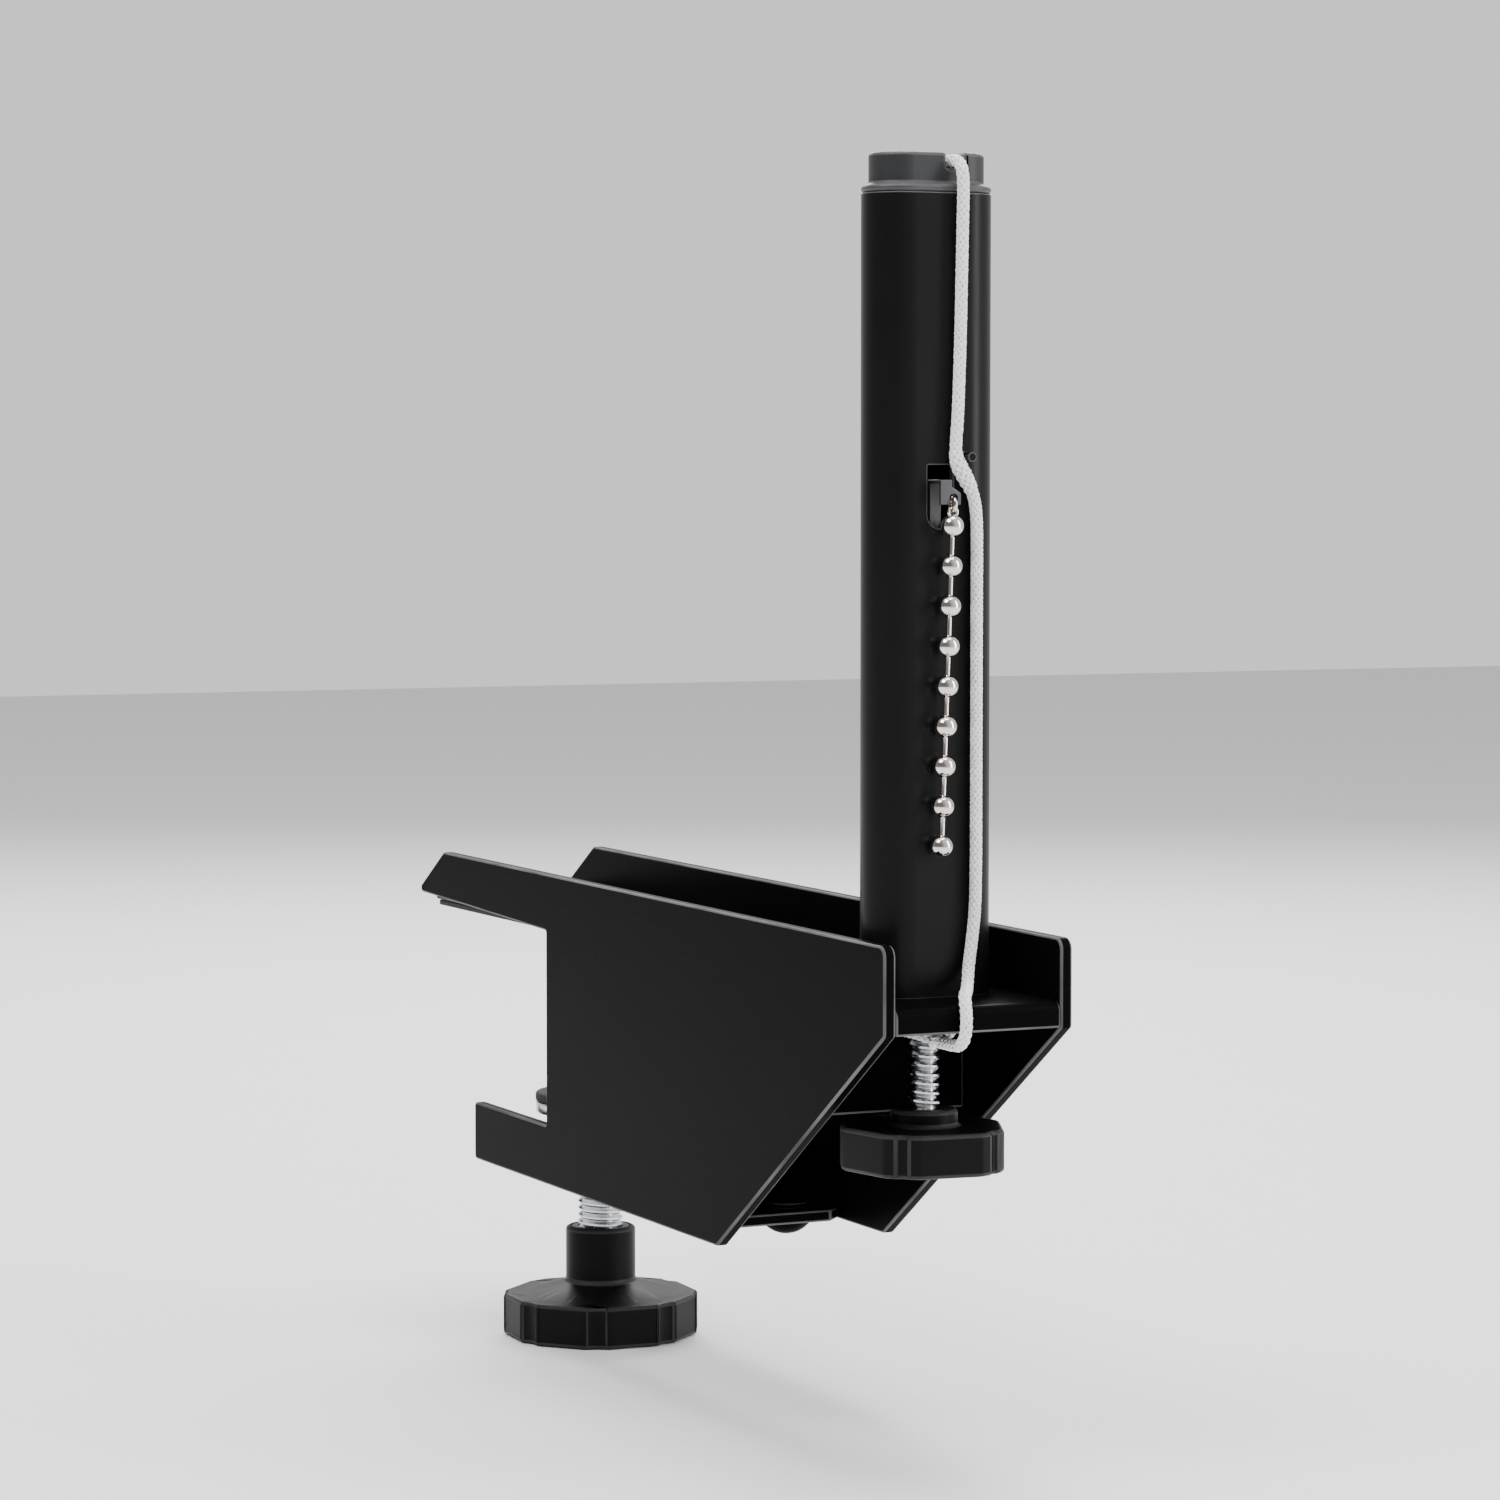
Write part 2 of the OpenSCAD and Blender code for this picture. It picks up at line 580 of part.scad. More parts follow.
module chain_links() {
  color([0.75, 0.73, 0.72]) hung_chain() for (i = [0 : bead_count - 2])
    translate([0, 0, -first_bead - (i + 1) * bead_pitch + link_end])
      cylinder(r = link_r, h = bead_pitch - 2 * link_end);
}

side_plate_near();
side_plate_far();
upper_jaw_plate();
upper_jaw_pad();
edge_stop();
edge_pad();
platform_plate();
cross_web();
lower_jaw_plate();
clamp_nut();
lower_rivet();
height_bush();
post_guide();
guide_rivets();
net_cord();
cord_loop();
cord_knot();
post_tube();
post_cap();
lift_plug();
plug_pin();
chain_lug();
cord_peg();
height_screw();
height_knob();
height_insert();
height_clip();
pad_plate();
pad_rubber();
clamp_screw();
clamp_knob();
clamp_insert();
chain_hook();
chain_eye();
chain_beads();
chain_links();
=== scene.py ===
"""Table tennis net clamp: the finish, the rounded edges, the threads, the cord and the bead chain,
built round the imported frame. Metres. +X points away from the table, +Y runs along its edge, +Z is up.
"""
import math

import bmesh
import bpy
from mathutils import Matrix, Vector


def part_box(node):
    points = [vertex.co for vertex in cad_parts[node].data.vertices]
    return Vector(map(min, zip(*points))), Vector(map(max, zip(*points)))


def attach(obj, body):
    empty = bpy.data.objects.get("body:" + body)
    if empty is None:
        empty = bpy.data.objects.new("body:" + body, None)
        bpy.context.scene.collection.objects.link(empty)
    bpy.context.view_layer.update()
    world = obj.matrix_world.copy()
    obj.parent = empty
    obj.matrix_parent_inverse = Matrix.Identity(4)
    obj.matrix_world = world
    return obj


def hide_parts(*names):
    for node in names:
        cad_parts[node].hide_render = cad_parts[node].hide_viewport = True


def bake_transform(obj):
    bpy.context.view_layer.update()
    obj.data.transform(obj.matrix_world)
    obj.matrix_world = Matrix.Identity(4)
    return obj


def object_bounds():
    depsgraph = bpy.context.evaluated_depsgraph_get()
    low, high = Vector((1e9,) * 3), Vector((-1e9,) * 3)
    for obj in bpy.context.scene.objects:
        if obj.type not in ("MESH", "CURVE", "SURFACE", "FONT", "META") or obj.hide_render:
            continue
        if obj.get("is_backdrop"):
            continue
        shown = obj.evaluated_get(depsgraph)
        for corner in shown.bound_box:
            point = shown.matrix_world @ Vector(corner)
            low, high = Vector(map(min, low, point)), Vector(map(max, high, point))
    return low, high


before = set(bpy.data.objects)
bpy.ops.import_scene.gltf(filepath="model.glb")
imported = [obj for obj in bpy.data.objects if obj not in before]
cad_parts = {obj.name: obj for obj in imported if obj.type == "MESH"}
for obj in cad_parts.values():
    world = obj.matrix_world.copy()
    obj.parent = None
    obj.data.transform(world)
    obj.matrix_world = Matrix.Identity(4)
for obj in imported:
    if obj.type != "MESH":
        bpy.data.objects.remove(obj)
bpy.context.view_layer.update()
scene = bpy.context.scene

MM = 0.001
UP = Vector((0, 0, 1))

# Sizes that the frame doesn't state, in metres
HEIGHT_PITCH = 1.75 * MM
HEIGHT_SCREW_R = 3 * MM
HEIGHT_THREAD_DEPTH = 0.62 * MM
SHOULDER_R = 2.7 * MM
TIP_R = 1.98 * MM
TIP_H = 8 * MM
CLAMP_PITCH = 1.5 * MM
CLAMP_SCREW_R = 5 * MM
CLAMP_THREAD_DEPTH = 0.85 * MM
PIVOT_R = 3 * MM
PIVOT_HEAD_R = 4.3 * MM
PIVOT_HEAD_H = 0.9 * MM
END_PLAY = 0.05 * MM
CORD_D = 2.5 * MM
BEAD_D = 4.4 * MM
BEAD_BORE_R = 0.72 * MM
BEAD_PITCH = 7.6 * MM
LINK_R = 0.55 * MM
LINK_WAIST_R = 0.5 * MM
LINK_IN_BEAD = 1.1 * MM
BEADS = 9
FIRST_BEAD = 2.8 * MM
CHAIN_LEAN = math.radians(2)
CHAIN_TOP = Vector((0.153, 0.0007, 0.0928))
KNOT_AT = Vector((0.1547, -0.0026, -0.0078))

# The cord's route: out of the post, over the cap, bent past the peg and in under the platform
CORD_ROUTE = [
    (0.143, 0, 0.129), (0.1415, 0, 0.1335), (0.138, 0, 0.137), (0.1349, 0, 0.1402),
    (0.1335, 0.0004, 0.1445), (0.1335, 0.0012, 0.149), (0.1334, 0.0022, 0.1534),
    (0.1341, 0.0029, 0.1572), (0.1367, 0.0032, 0.159), (0.1405, 0.0032, 0.1591),
    (0.1455, 0.0032, 0.1591), (0.1497, 0.0032, 0.1589), (0.1517, 0.0032, 0.1569),
    (0.1521, 0.0032, 0.153), (0.1521, 0.0031, 0.147), (0.1521, 0.0029, 0.137),
    (0.1521, 0.0027, 0.127), (0.1521, 0.0024, 0.117), (0.1521, 0.0021, 0.11),
    (0.1521, 0.0018, 0.106), (0.1522, 0.0018, 0.1032), (0.1524, 0.0024, 0.1012),
    (0.1525, 0.0034, 0.0994), (0.1524, 0.0046, 0.0974), (0.1522, 0.0056, 0.0952),
    (0.1521, 0.0061, 0.0924), (0.1521, 0.0063, 0.088), (0.1521, 0.0063, 0.076),
    (0.1521, 0.0063, 0.066), (0.1521, 0.0063, 0.056), (0.1521, 0.0063, 0.046),
    (0.1521, 0.0063, 0.036), (0.1521, 0.0063, 0.026), (0.1521, 0.0061, 0.017),
    (0.1522, 0.0054, 0.011),
    (0.1529, 0.0044, 0.0062), (0.1547, 0.0032, 0.0032), (0.1581, 0.0012, 0.002),
    (0.1621, -0.0012, 0.0019), (0.1653, -0.0029, 0.0015), (0.1672, -0.0036, -0.0014),
    (0.1671, -0.0037, -0.0049), (0.1649, -0.0036, -0.0072), (0.1611, -0.0034, -0.0077),
    (0.1565, -0.0034, -0.0077),
]
LOOP_ROUTE = [
    (0.1529, -0.0035, -0.0074), (0.1495, -0.0046, -0.0068), (0.1457, -0.0052, -0.0066),
    (0.1419, -0.0049, -0.0066), (0.1391, -0.0026, -0.0066), (0.1383, 0.0008, -0.0066),
    (0.1399, 0.0038, -0.0066), (0.1433, 0.0049, -0.0067), (0.1467, 0.0036, -0.007),
    (0.1493, 0.0012, -0.0076), (0.1521, -0.0008, -0.0082),
]


# ---- Node trees -------------------------------------------------------------------------------

def add(tree, kind, sockets=None, **settings):
    """A node with its settings. Each socket takes a value or another node's output."""
    node = tree.nodes.new(kind)
    for key, value in settings.items():
        setattr(node, key, value)
    for key, value in (sockets or {}).items():
        if isinstance(value, bpy.types.NodeSocket):
            tree.links.new(value, node.inputs[key])
        else:
            node.inputs[key].default_value = value
    return node


def maths(tree, operation, a, b=0.0):
    return add(tree, "ShaderNodeMath", {0: a, 1: b}, operation=operation).outputs[0]


def vector_maths(tree, operation, a, b):
    """Output 0 of a vector operation; for SCALE, b is the factor."""
    key = "Scale" if operation == "SCALE" else 1
    return add(tree, "ShaderNodeVectorMath", {0: a, key: b}, operation=operation).outputs[0]


# ---- Materials --------------------------------------------------------------------------------

def surface(name, colour, roughness, metallic=0.0, grain=0.3 * MM, bump=0.05, stretch=(1, 1, 1),
            rough_spread=0.05, tint=None, wear_and_highlight=None, **shader):
    """A finish whose colour, roughness and relief vary at the size of its grain. tint is a second
    colour that comes and goes slowly; the last colour, for wear and highlight, is painted on the rounded
    edges: a painted highlight that also stands for rubbed wear."""
    material = bpy.data.materials.new(name)
    material.use_nodes = True
    tree = material.node_tree
    tree.nodes.clear()
    place = add(tree, "ShaderNodeTexCoord").outputs["Object"]
    stretched = add(tree, "ShaderNodeMapping", {"Vector": place, "Scale": stretch}).outputs[0]
    fine = add(tree, "ShaderNodeTexNoise",
               {"Vector": stretched, "Scale": 1 / grain, "Detail": 3.0}).outputs["Fac"]
    slow = add(tree, "ShaderNodeTexNoise",
               {"Vector": place, "Scale": 45.0, "Detail": 4.0}).outputs["Fac"]
    rough = add(tree, "ShaderNodeMapRange",
                {"Value": maths(tree, "ADD", maths(tree, "MULTIPLY", fine, 0.8),
                                maths(tree, "MULTIPLY", slow, 0.2)),
                 "From Min": 0.3, "From Max": 0.7, "To Min": roughness - rough_spread,
                 "To Max": roughness + rough_spread}).outputs[0]
    # the colour sockets of a Mix node share their names with the number ones, so they go by place
    paint = add(tree, "ShaderNodeMix", {0: slow}, data_type="RGBA")
    paint.inputs[6].default_value = (*colour, 1)
    paint.inputs[7].default_value = (*(tint or colour), 1)
    shade = paint.outputs[2]
    # the rounded edges are mixed towards a lighter colour: a painted highlight along every rounding, partly
    # standing for rubbed wear
    if wear_and_highlight:
        edge = add(tree, "ShaderNodeAttribute", attribute_name="edge").outputs["Fac"]
        highlight_strength = add(tree, "ShaderNodeMapRange",
                     {"Value": slow, "From Min": 0.35,
                      "From Max": 0.65, "To Min": 0.45, "To Max": 1.0}).outputs[0]
        edge_highlight = add(tree, "ShaderNodeMix", data_type="RGBA")
        tree.links.new(maths(tree, "MULTIPLY", highlight_strength, edge), edge_highlight.inputs[0])
        tree.links.new(shade, edge_highlight.inputs[6])
        edge_highlight.inputs[7].default_value = (*wear_and_highlight, 1)
        shade = edge_highlight.outputs[2]
    relief = add(tree, "ShaderNodeBump", {"Strength": bump, "Distance": 0.1 * MM,
                                          "Height": fine}).outputs[0]
    principled = add(tree, "ShaderNodeBsdfPrincipled",
                     {"Base Color": shade, "Roughness": rough, "Metallic": metallic,
                      "Normal": relief, **shader})
    add(tree, "ShaderNodeOutputMaterial", {"Surface": principled.outputs[0]})
    return material


# the lighter colour given for each finish's rounded edges is a painted edge highlight that also stands for
# rubbed wear
FINISH = {
    "powder_coat": surface("powder_coat", (0.0026, 0.0025, 0.0025), 0.34, grain=0.45 * MM, bump=0.12,
                           tint=(0.0034, 0.0031, 0.0030), wear_and_highlight=(0.15, 0.15, 0.155), IOR=1.06),
    "black_anodised": surface("black_anodised", (0.0048, 0.0048, 0.0052), 0.33, grain=0.25 * MM,
                              bump=0.06, stretch=(1, 1, 0.03), tint=(0.0062, 0.0062, 0.0067),
                              wear_and_highlight=(0.13, 0.13, 0.135), IOR=1.22),
    "black_plastic": surface("black_plastic", (0.0045, 0.0045, 0.0048), 0.40, grain=0.35 * MM,
                             bump=0.18, tint=(0.0058, 0.0058, 0.0061), wear_and_highlight=(0.05, 0.05, 0.052),
                             IOR=1.16),
    "cap_plastic": surface("cap_plastic", (0.017, 0.0175, 0.0190), 0.48, grain=0.30 * MM, bump=0.18,
                           tint=(0.021, 0.0215, 0.0230), wear_and_highlight=(0.075, 0.075, 0.08), IOR=1.40),
    "rubber": surface("rubber", (0.010, 0.010, 0.010), 0.78, grain=0.4 * MM, bump=0.4,
                      tint=(0.018, 0.017, 0.017)),
    "zinc": surface("zinc", (0.66, 0.67, 0.69), 0.24, metallic=1.0, grain=1.2 * MM, bump=0.02,
                    tint=(0.58, 0.59, 0.62)),
    "grey_steel": surface("grey_steel", (0.10, 0.10, 0.105), 0.38, metallic=0.8, grain=0.3 * MM,
                          bump=0.06, tint=(0.08, 0.08, 0.085)),
    "black_oxide": surface("black_oxide", (0.010, 0.010, 0.011), 0.36, metallic=0.3, grain=0.3 * MM,
                           bump=0.05, tint=(0.014, 0.014, 0.015)),
    "nickel": surface("nickel", (0.80, 0.745, 0.71), 0.10, metallic=1.0, grain=0.6 * MM,
                      bump=0.012, rough_spread=0.03, tint=(0.74, 0.66, 0.615)),
    "white_cord": surface("white_cord", (0.93, 0.93, 0.925), 0.80, grain=0.12 * MM, bump=0.5,
                          tint=(0.89, 0.89, 0.88), **{"Sheen Weight": 0.35, "Sheen Roughness": 0.4}),
}


# ---- Making pieces ----------------------------------------------------------------------------

def settled(obj):
    """The object with its modifiers made into plain mesh."""
    bpy.context.view_layer.update()
    shape = obj.evaluated_get(bpy.context.evaluated_depsgraph_get())
    mesh = bpy.data.meshes.new_from_object(shape)
    obj.modifiers.clear()
    obj.data = mesh
    mesh.name = obj.name
    return obj


def on_stage(name, mesh):
    obj = bpy.data.objects.new(name, mesh)
    scene.collection.objects.link(obj)
    return obj


def mesh_from(bm, name):
    mesh = bpy.data.meshes.new(name)
    bm.to_mesh(mesh)
    bm.free()
    return mesh


def shade(obj, crease=35):
    obj.data.shade_smooth()
    obj.data.set_sharp_from_angle(angle=math.radians(crease))


def finish(obj, slot, body, *nodes):
    """Gives the piece its finish, the nodes that it stands for and the body that it rides on."""
    obj.data.materials.clear()
    obj.data.materials.append(FINISH[slot])
    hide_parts(*nodes)
    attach(obj, body)
    return obj


def softened(node, edge, crease=35, steps=3):
    """A copy of a frame node with its sharp edges rounded, and the roundings marked as edge, where the
    finish paints its lighter edge highlight.
    """
    bm = bmesh.new()
    bm.from_mesh(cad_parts[node].data)
    bmesh.ops.remove_doubles(bm, verts=bm.verts, dist=2e-6)
    bmesh.ops.dissolve_limit(bm, angle_limit=math.radians(0.5), verts=bm.verts, edges=bm.edges)
    obj = on_stage(node + "_piece", mesh_from(bm, node + "_piece"))
    while len(obj.data.materials) < 2:
        obj.data.materials.append(None)
    for face in obj.data.polygons:
        face.material_index = 0
    rounding = obj.modifiers.new("rounding", "BEVEL")
    rounding.width = edge
    rounding.segments = steps
    rounding.limit_method = "ANGLE"
    rounding.angle_limit = math.radians(crease)
    rounding.use_clamp_overlap = False
    rounding.material = 1
    rounding.miter_outer = "MITER_ARC"
    settled(obj)
    mesh = obj.data
    mark = mesh.attributes.new("edge", "FLOAT", "FACE")
    mark.data.foreach_set("value", [float(face.material_index == 1) for face in mesh.polygons])
    for face in mesh.polygons:
        face.material_index = 0
    shade(obj)
    level = obj.modifiers.new("flat_faces", "WEIGHTED_NORMAL")
    level.keep_sharp = True
    return settled(obj)


def rounded_piece(node, edge, slot, body, **how):
    """A frame node with its edges rounded, finished and riding on its body."""
    return finish(softened(node, edge, **how), slot, body, node)


def turned(name, profile, centre, sides=64):
    """A solid of revolution from (radius, height) points, bottom to top, closed on its axis."""
    bm = bmesh.new()
    rings = []
    for radius, height in profile:
        turns = [2 * math.pi * i / sides for i in range(sides)] if radius > 0 else [0.0]
        rings.append([bm.verts.new((centre[0] + radius * math.cos(a), centre[1] + radius * math.sin(a),
                                    height)) for a in turns])
    for low, high in zip(rings, rings[1:]):
        for i in range(sides):
            j = (i + 1) % sides
            corners = [low[i % len(low)], low[j % len(low)], high[j % len(high)], high[i % len(high)]]
            bm.faces.new(list(dict.fromkeys(corners)))
    bmesh.ops.recalc_face_normals(bm, faces=bm.faces)
    obj = on_stage(name, mesh_from(bm, name))
    shade(obj)
    return obj


def pattern(name, profile, sides):
    """The mesh alone of a turned shape that is copied many times."""
    shape = turned(name, profile, (0, 0), sides)
    mesh = shape.data
    bpy.data.objects.remove(shape)
    return mesh


def joined(name, *objects):
    """One piece from several shapes."""
    bm = bmesh.new()
    for obj in objects:
        bm.from_mesh(obj.data)
        bpy.data.objects.remove(obj)
    bmesh.ops.recalc_face_normals(bm, faces=bm.faces)
    return on_stage(name, mesh_from(bm, name))


# ---- Growing what repeats ---------------------------------------------------------------------

def growth(name, **inputs):
    """A geometry tree with an input for each name, a number or a vector, and its group input's sockets."""
    kinds = {float: "NodeSocketFloat", int: "NodeSocketInt", Vector: "NodeSocketVector"}
    tree = bpy.data.node_groups.new(name, "GeometryNodeTree")
    tree.interface.new_socket("Geometry", in_out="INPUT", socket_type="NodeSocketGeometry")
    for label, value in inputs.items():
        socket = tree.interface.new_socket(label, in_out="INPUT", socket_type=kinds[type(value)])
        socket.default_value = value
    tree.interface.new_socket("Material", in_out="INPUT", socket_type="NodeSocketMaterial")
    tree.interface.new_socket("Geometry", in_out="OUTPUT", socket_type="NodeSocketGeometry")
    return tree, add(tree, "NodeGroupInput").outputs


def harvest(tree, geometry, given):
    """Ends a geometry tree: real copies, then their material."""
    real = add(tree, "GeometryNodeRealizeInstances", {"Geometry": geometry})
    coated = add(tree, "GeometryNodeSetMaterial",
                 {"Geometry": real.outputs[0], "Material": given["Material"]})
    add(tree, "NodeGroupOutput", {"Geometry": coated.outputs[0]})
    return tree


def grow(name, tree, slot, start=None, **values):
    """The tree's result as plain mesh, from a starting mesh or from nothing."""
    obj = on_stage(name, start or bpy.data.meshes.new(name))
    maker = obj.modifiers.new("maker", "NODES")
    maker.node_group = tree
    values["Material"] = FINISH[slot]
    for item in tree.interface.items_tree:
        if item.item_type == "SOCKET" and item.in_out == "INPUT" and item.name in values:
            maker[item.identifier] = values[item.name]
    return settled(obj)


def thread_tree():
    """A right-handed ridge that winds round a core."""
    tree, given = growth("thread", Radius=5 * MM, Pitch=1.5 * MM, Turns=10.0, Depth=0.8 * MM,
                         Start=Vector((0, 0, 0)))
    root = maths(tree, "SUBTRACT", given["Radius"], given["Depth"])
    helix = add(tree, "GeometryNodeCurveSpiral",
                {"Resolution": 40, "Rotations": given["Turns"], "Start Radius": root,
                 "End Radius": root, "Height": maths(tree, "MULTIPLY", given["Turns"], given["Pitch"])})
    upright = add(tree, "GeometryNodeSetCurveNormal", {"Curve": helix.outputs[0]}, mode="Z_UP")
    ridge = add(tree, "GeometryNodeCurvePrimitiveQuadrilateral",
                {"Bottom Width": maths(tree, "MULTIPLY", given["Pitch"], 0.96),
                 "Top Width": maths(tree, "MULTIPLY", given["Pitch"], 0.22),
                 "Height": given["Depth"], "Offset": 0.0}, mode="TRAPEZOID")
    outward = add(tree, "GeometryNodeTransform",
                  {"Geometry": ridge.outputs[0], "Rotation": (0, 0, math.pi / 2),
                   "Translation": add(tree, "ShaderNodeCombineXYZ",
                                      {"X": maths(tree, "MULTIPLY", given["Depth"], -0.5)}).outputs[0]})
    wound = add(tree, "GeometryNodeCurveToMesh",
                {"Curve": upright.outputs[0], "Profile Curve": outward.outputs[0], "Fill Caps": True})
    placed = add(tree, "GeometryNodeTransform",
                 {"Geometry": wound.outputs[0], "Translation": given["Start"]})
    return harvest(tree, placed.outputs[0], given)


def braid_tree():
    """Yarns wound both ways round a guide line, each passing over and under the other way's."""
    tree, given = growth("braid", Diameter=CORD_D, Lay=9 * MM, Yarn=0.27 * MM, Yarns=6)
    guide = add(tree, "GeometryNodeMeshToCurve", {"Mesh": given["Geometry"]})
    even = add(tree, "GeometryNodeResampleCurve",
               {"Curve": guide.outputs[0], "Length": 0.26 * MM}, mode="LENGTH")
    kept = even.outputs[0]
    facts = {"run": ("FLOAT", add(tree, "GeometryNodeSplineParameter").outputs["Length"]),
             "along": ("FLOAT_VECTOR", add(tree, "GeometryNodeInputTangent").outputs[0]),
             "aside": ("FLOAT_VECTOR", add(tree, "GeometryNodeInputNormal").outputs[0])}
    for label, (kind, value) in facts.items():
        kept = add(tree, "GeometryNodeStoreNamedAttribute",
                   {"Geometry": kept, "Name": label, "Value": value},
                   data_type=kind, domain="POINT").outputs[0]

    def fact(label):
        return add(tree, "GeometryNodeInputNamedAttribute", {"Name": label},
                   data_type=facts[label][0]).outputs[0]

    both_ways = maths(tree, "MULTIPLY", given["Yarns"], 2.0)
    copies = add(tree, "GeometryNodeDuplicateElements",
                 {"Geometry": kept, "Amount": both_ways}, domain="SPLINE")
    number = copies.outputs[1]
    way = maths(tree, "SUBTRACT", 1.0, maths(tree, "MULTIPLY", 2.0, maths(tree, "MODULO", number, 2.0)))
    seat = maths(tree, "DIVIDE", maths(tree, "FLOOR", maths(tree, "DIVIDE", number, 2.0)), given["Yarns"])
    turns = maths(tree, "DIVIDE", fact("run"), given["Lay"])
    angle = maths(tree, "MULTIPLY", maths(tree, "ADD", maths(tree, "MULTIPLY", turns, way), seat),
                  2 * math.pi)
    wave = maths(tree, "COSINE", maths(tree, "MULTIPLY", maths(tree, "MULTIPLY", turns, given["Yarns"]),
                                       2 * math.pi))
    swing = maths(tree, "MULTIPLY", given["Yarn"], 0.45)
    middle = maths(tree, "SUBTRACT", maths(tree, "SUBTRACT", maths(tree, "MULTIPLY", given["Diameter"], 0.5),
                                           given["Yarn"]), swing)
    reach = maths(tree, "ADD", middle, maths(tree, "MULTIPLY", maths(tree, "MULTIPLY", wave, way), swing))
    third = vector_maths(tree, "CROSS_PRODUCT", fact("along"), fact("aside"))
    aside_share = maths(tree, "MULTIPLY", reach, maths(tree, "COSINE", angle))
    third_share = maths(tree, "MULTIPLY", reach, maths(tree, "SINE", angle))
    offset = vector_maths(tree, "ADD", vector_maths(tree, "SCALE", fact("aside"), aside_share),
                          vector_maths(tree, "SCALE", third, third_share))
    moved = add(tree, "GeometryNodeSetPosition", {"Geometry": copies.outputs[0], "Offset": offset})
    yarn = add(tree, "GeometryNodeCurvePrimitiveCircle", {"Resolution": 5, "Radius": given["Yarn"]})
    yarns = add(tree, "GeometryNodeCurveToMesh",
                {"Curve": moved.outputs[0], "Profile Curve": yarn.outputs[0], "Fill Caps": True})
    heart = add(tree, "GeometryNodeCurvePrimitiveCircle",
                {"Resolution": 12, "Radius": maths(tree, "SUBTRACT", middle, swing)})
    filling = add(tree, "GeometryNodeCurveToMesh",
                  {"Curve": kept, "Profile Curve": heart.outputs[0], "Fill Caps": True})
    both = add(tree, "GeometryNodeJoinGeometry")
    tree.links.new(yarns.outputs[0], both.inputs[0])
    tree.links.new(filling.outputs[0], both.inputs[0])
    return harvest(tree, both.outputs[0], given)


def string_tree():
    """Copies of the incoming shape, one below another along a line."""
    tree, given = growth("string", Count=9, First=Vector((0, 0, 0)), Step=Vector((0, 0, -0.0076)),
                         Lean=Vector((0, 0, 0)))
    line = add(tree, "GeometryNodeMeshLine",
               {"Count": given["Count"], "Start Location": given["First"], "Offset": given["Step"]})
    hung = add(tree, "GeometryNodeInstanceOnPoints",
               {"Points": line.outputs[0], "Instance": given["Geometry"], "Rotation": given["Lean"]})
    return harvest(tree, hung.outputs[0], given)


THREAD, BRAID, STRING = thread_tree(), braid_tree(), string_tree()


def smooth_line(points, closed=False, steps=10):
    """Points of a curve through every given point, with no corner at any of them."""
    given = [Vector(p) for p in points]
    count = len(given)
    line = []
    for i in range(count if closed else count - 1):
        if closed:
            a, b, c, d = (given[(i + k) % count] for k in (-1, 0, 1, 2))
        else:
            a, b, c, d = (given[min(max(i + k, 0), count - 1)] for k in (-1, 0, 1, 2))
        for s in range(steps):
            t = s / steps
            line.append(0.5 * (2 * b + (c - a) * t + (2 * a - 5 * b + 4 * c - d) * t ** 2
                               + (3 * b - a - 3 * c + d) * t ** 3))
    if not closed:
        line.append(given[-1])
    return line


def guide_mesh(name, points, closed=False):
    line = smooth_line(points, closed)
    edges = [(i, i + 1) for i in range(len(line) - 1)] + ([(len(line) - 1, 0)] if closed else [])
    mesh = bpy.data.meshes.new(name)
    mesh.from_pydata(line, edges, [])
    return mesh


def braided(name, points, closed=False, diameter=CORD_D, **values):
    obj = grow(name, BRAID, "white_cord", guide_mesh(name, points, closed), Diameter=diameter, **values)
    shade(obj, 60)
    return obj


# ---- Bracket ----------------------------------------------------------------------------------

SHEET_EDGE = 0.45 * MM
for node in ("side_plate_near", "side_plate_far", "upper_jaw_plate", "edge_stop", "platform_plate",
             "cross_web", "lower_jaw_plate"):
    rounded_piece(node, SHEET_EDGE, "powder_coat", "bracket")
for node in ("upper_jaw_pad", "edge_pad"):
    rounded_piece(node, 0.25 * MM, "rubber", "bracket")
rounded_piece("clamp_nut", 0.4 * MM, "zinc", "bracket")
rounded_piece("lower_rivet", 0.3 * MM, "powder_coat", "bracket", crease=50)
rounded_piece("height_bush", 0.25 * MM, "zinc", "bracket")
rounded_piece("post_guide", 0.3 * MM, "black_plastic", "bracket")
rounded_piece("guide_rivets", 0.2 * MM, "zinc", "bracket")

# ---- Post -------------------------------------------------------------------------------------

rounded_piece("post_tube", 0.25 * MM, "black_anodised", "post")
rounded_piece("post_cap", 0.7 * MM, "cap_plastic", "post")
rounded_piece("lift_plug", 0.2 * MM, "black_plastic", "post")
rounded_piece("plug_pin", 0.3 * MM, "zinc", "post")
rounded_piece("chain_lug", 0.12 * MM, "grey_steel", "post")
rounded_piece("cord_peg", 0.2 * MM, "black_anodised", "post")

# ---- Screws and knobs -------------------------------------------------------------------------


def screw(node, radius, pitch, depth, low, high, body, *tail):
    """A threaded rod from low to high on the node's axis, then the turned profile of its tail."""
    box_low, box_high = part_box(node)
    centre = (box_low + box_high) / 2
    root = radius - depth
    turns = (high - low) / pitch - 1
    ridge = grow(node + "_thread", THREAD, "zinc", Radius=radius, Pitch=pitch, Turns=turns, Depth=depth,
                 Start=(centre.x, centre.y, low + pitch / 2))
    core = turned(node + "_core",
                  [(0, low), (root - 0.4 * MM, low), (root, low + 0.4 * MM), (root, high - 0.5 * MM),
                   *tail], centre)
    rod = joined(node + "_piece", ridge, core)
    shade(rod, 30)
    return finish(rod, "zinc", body, node)


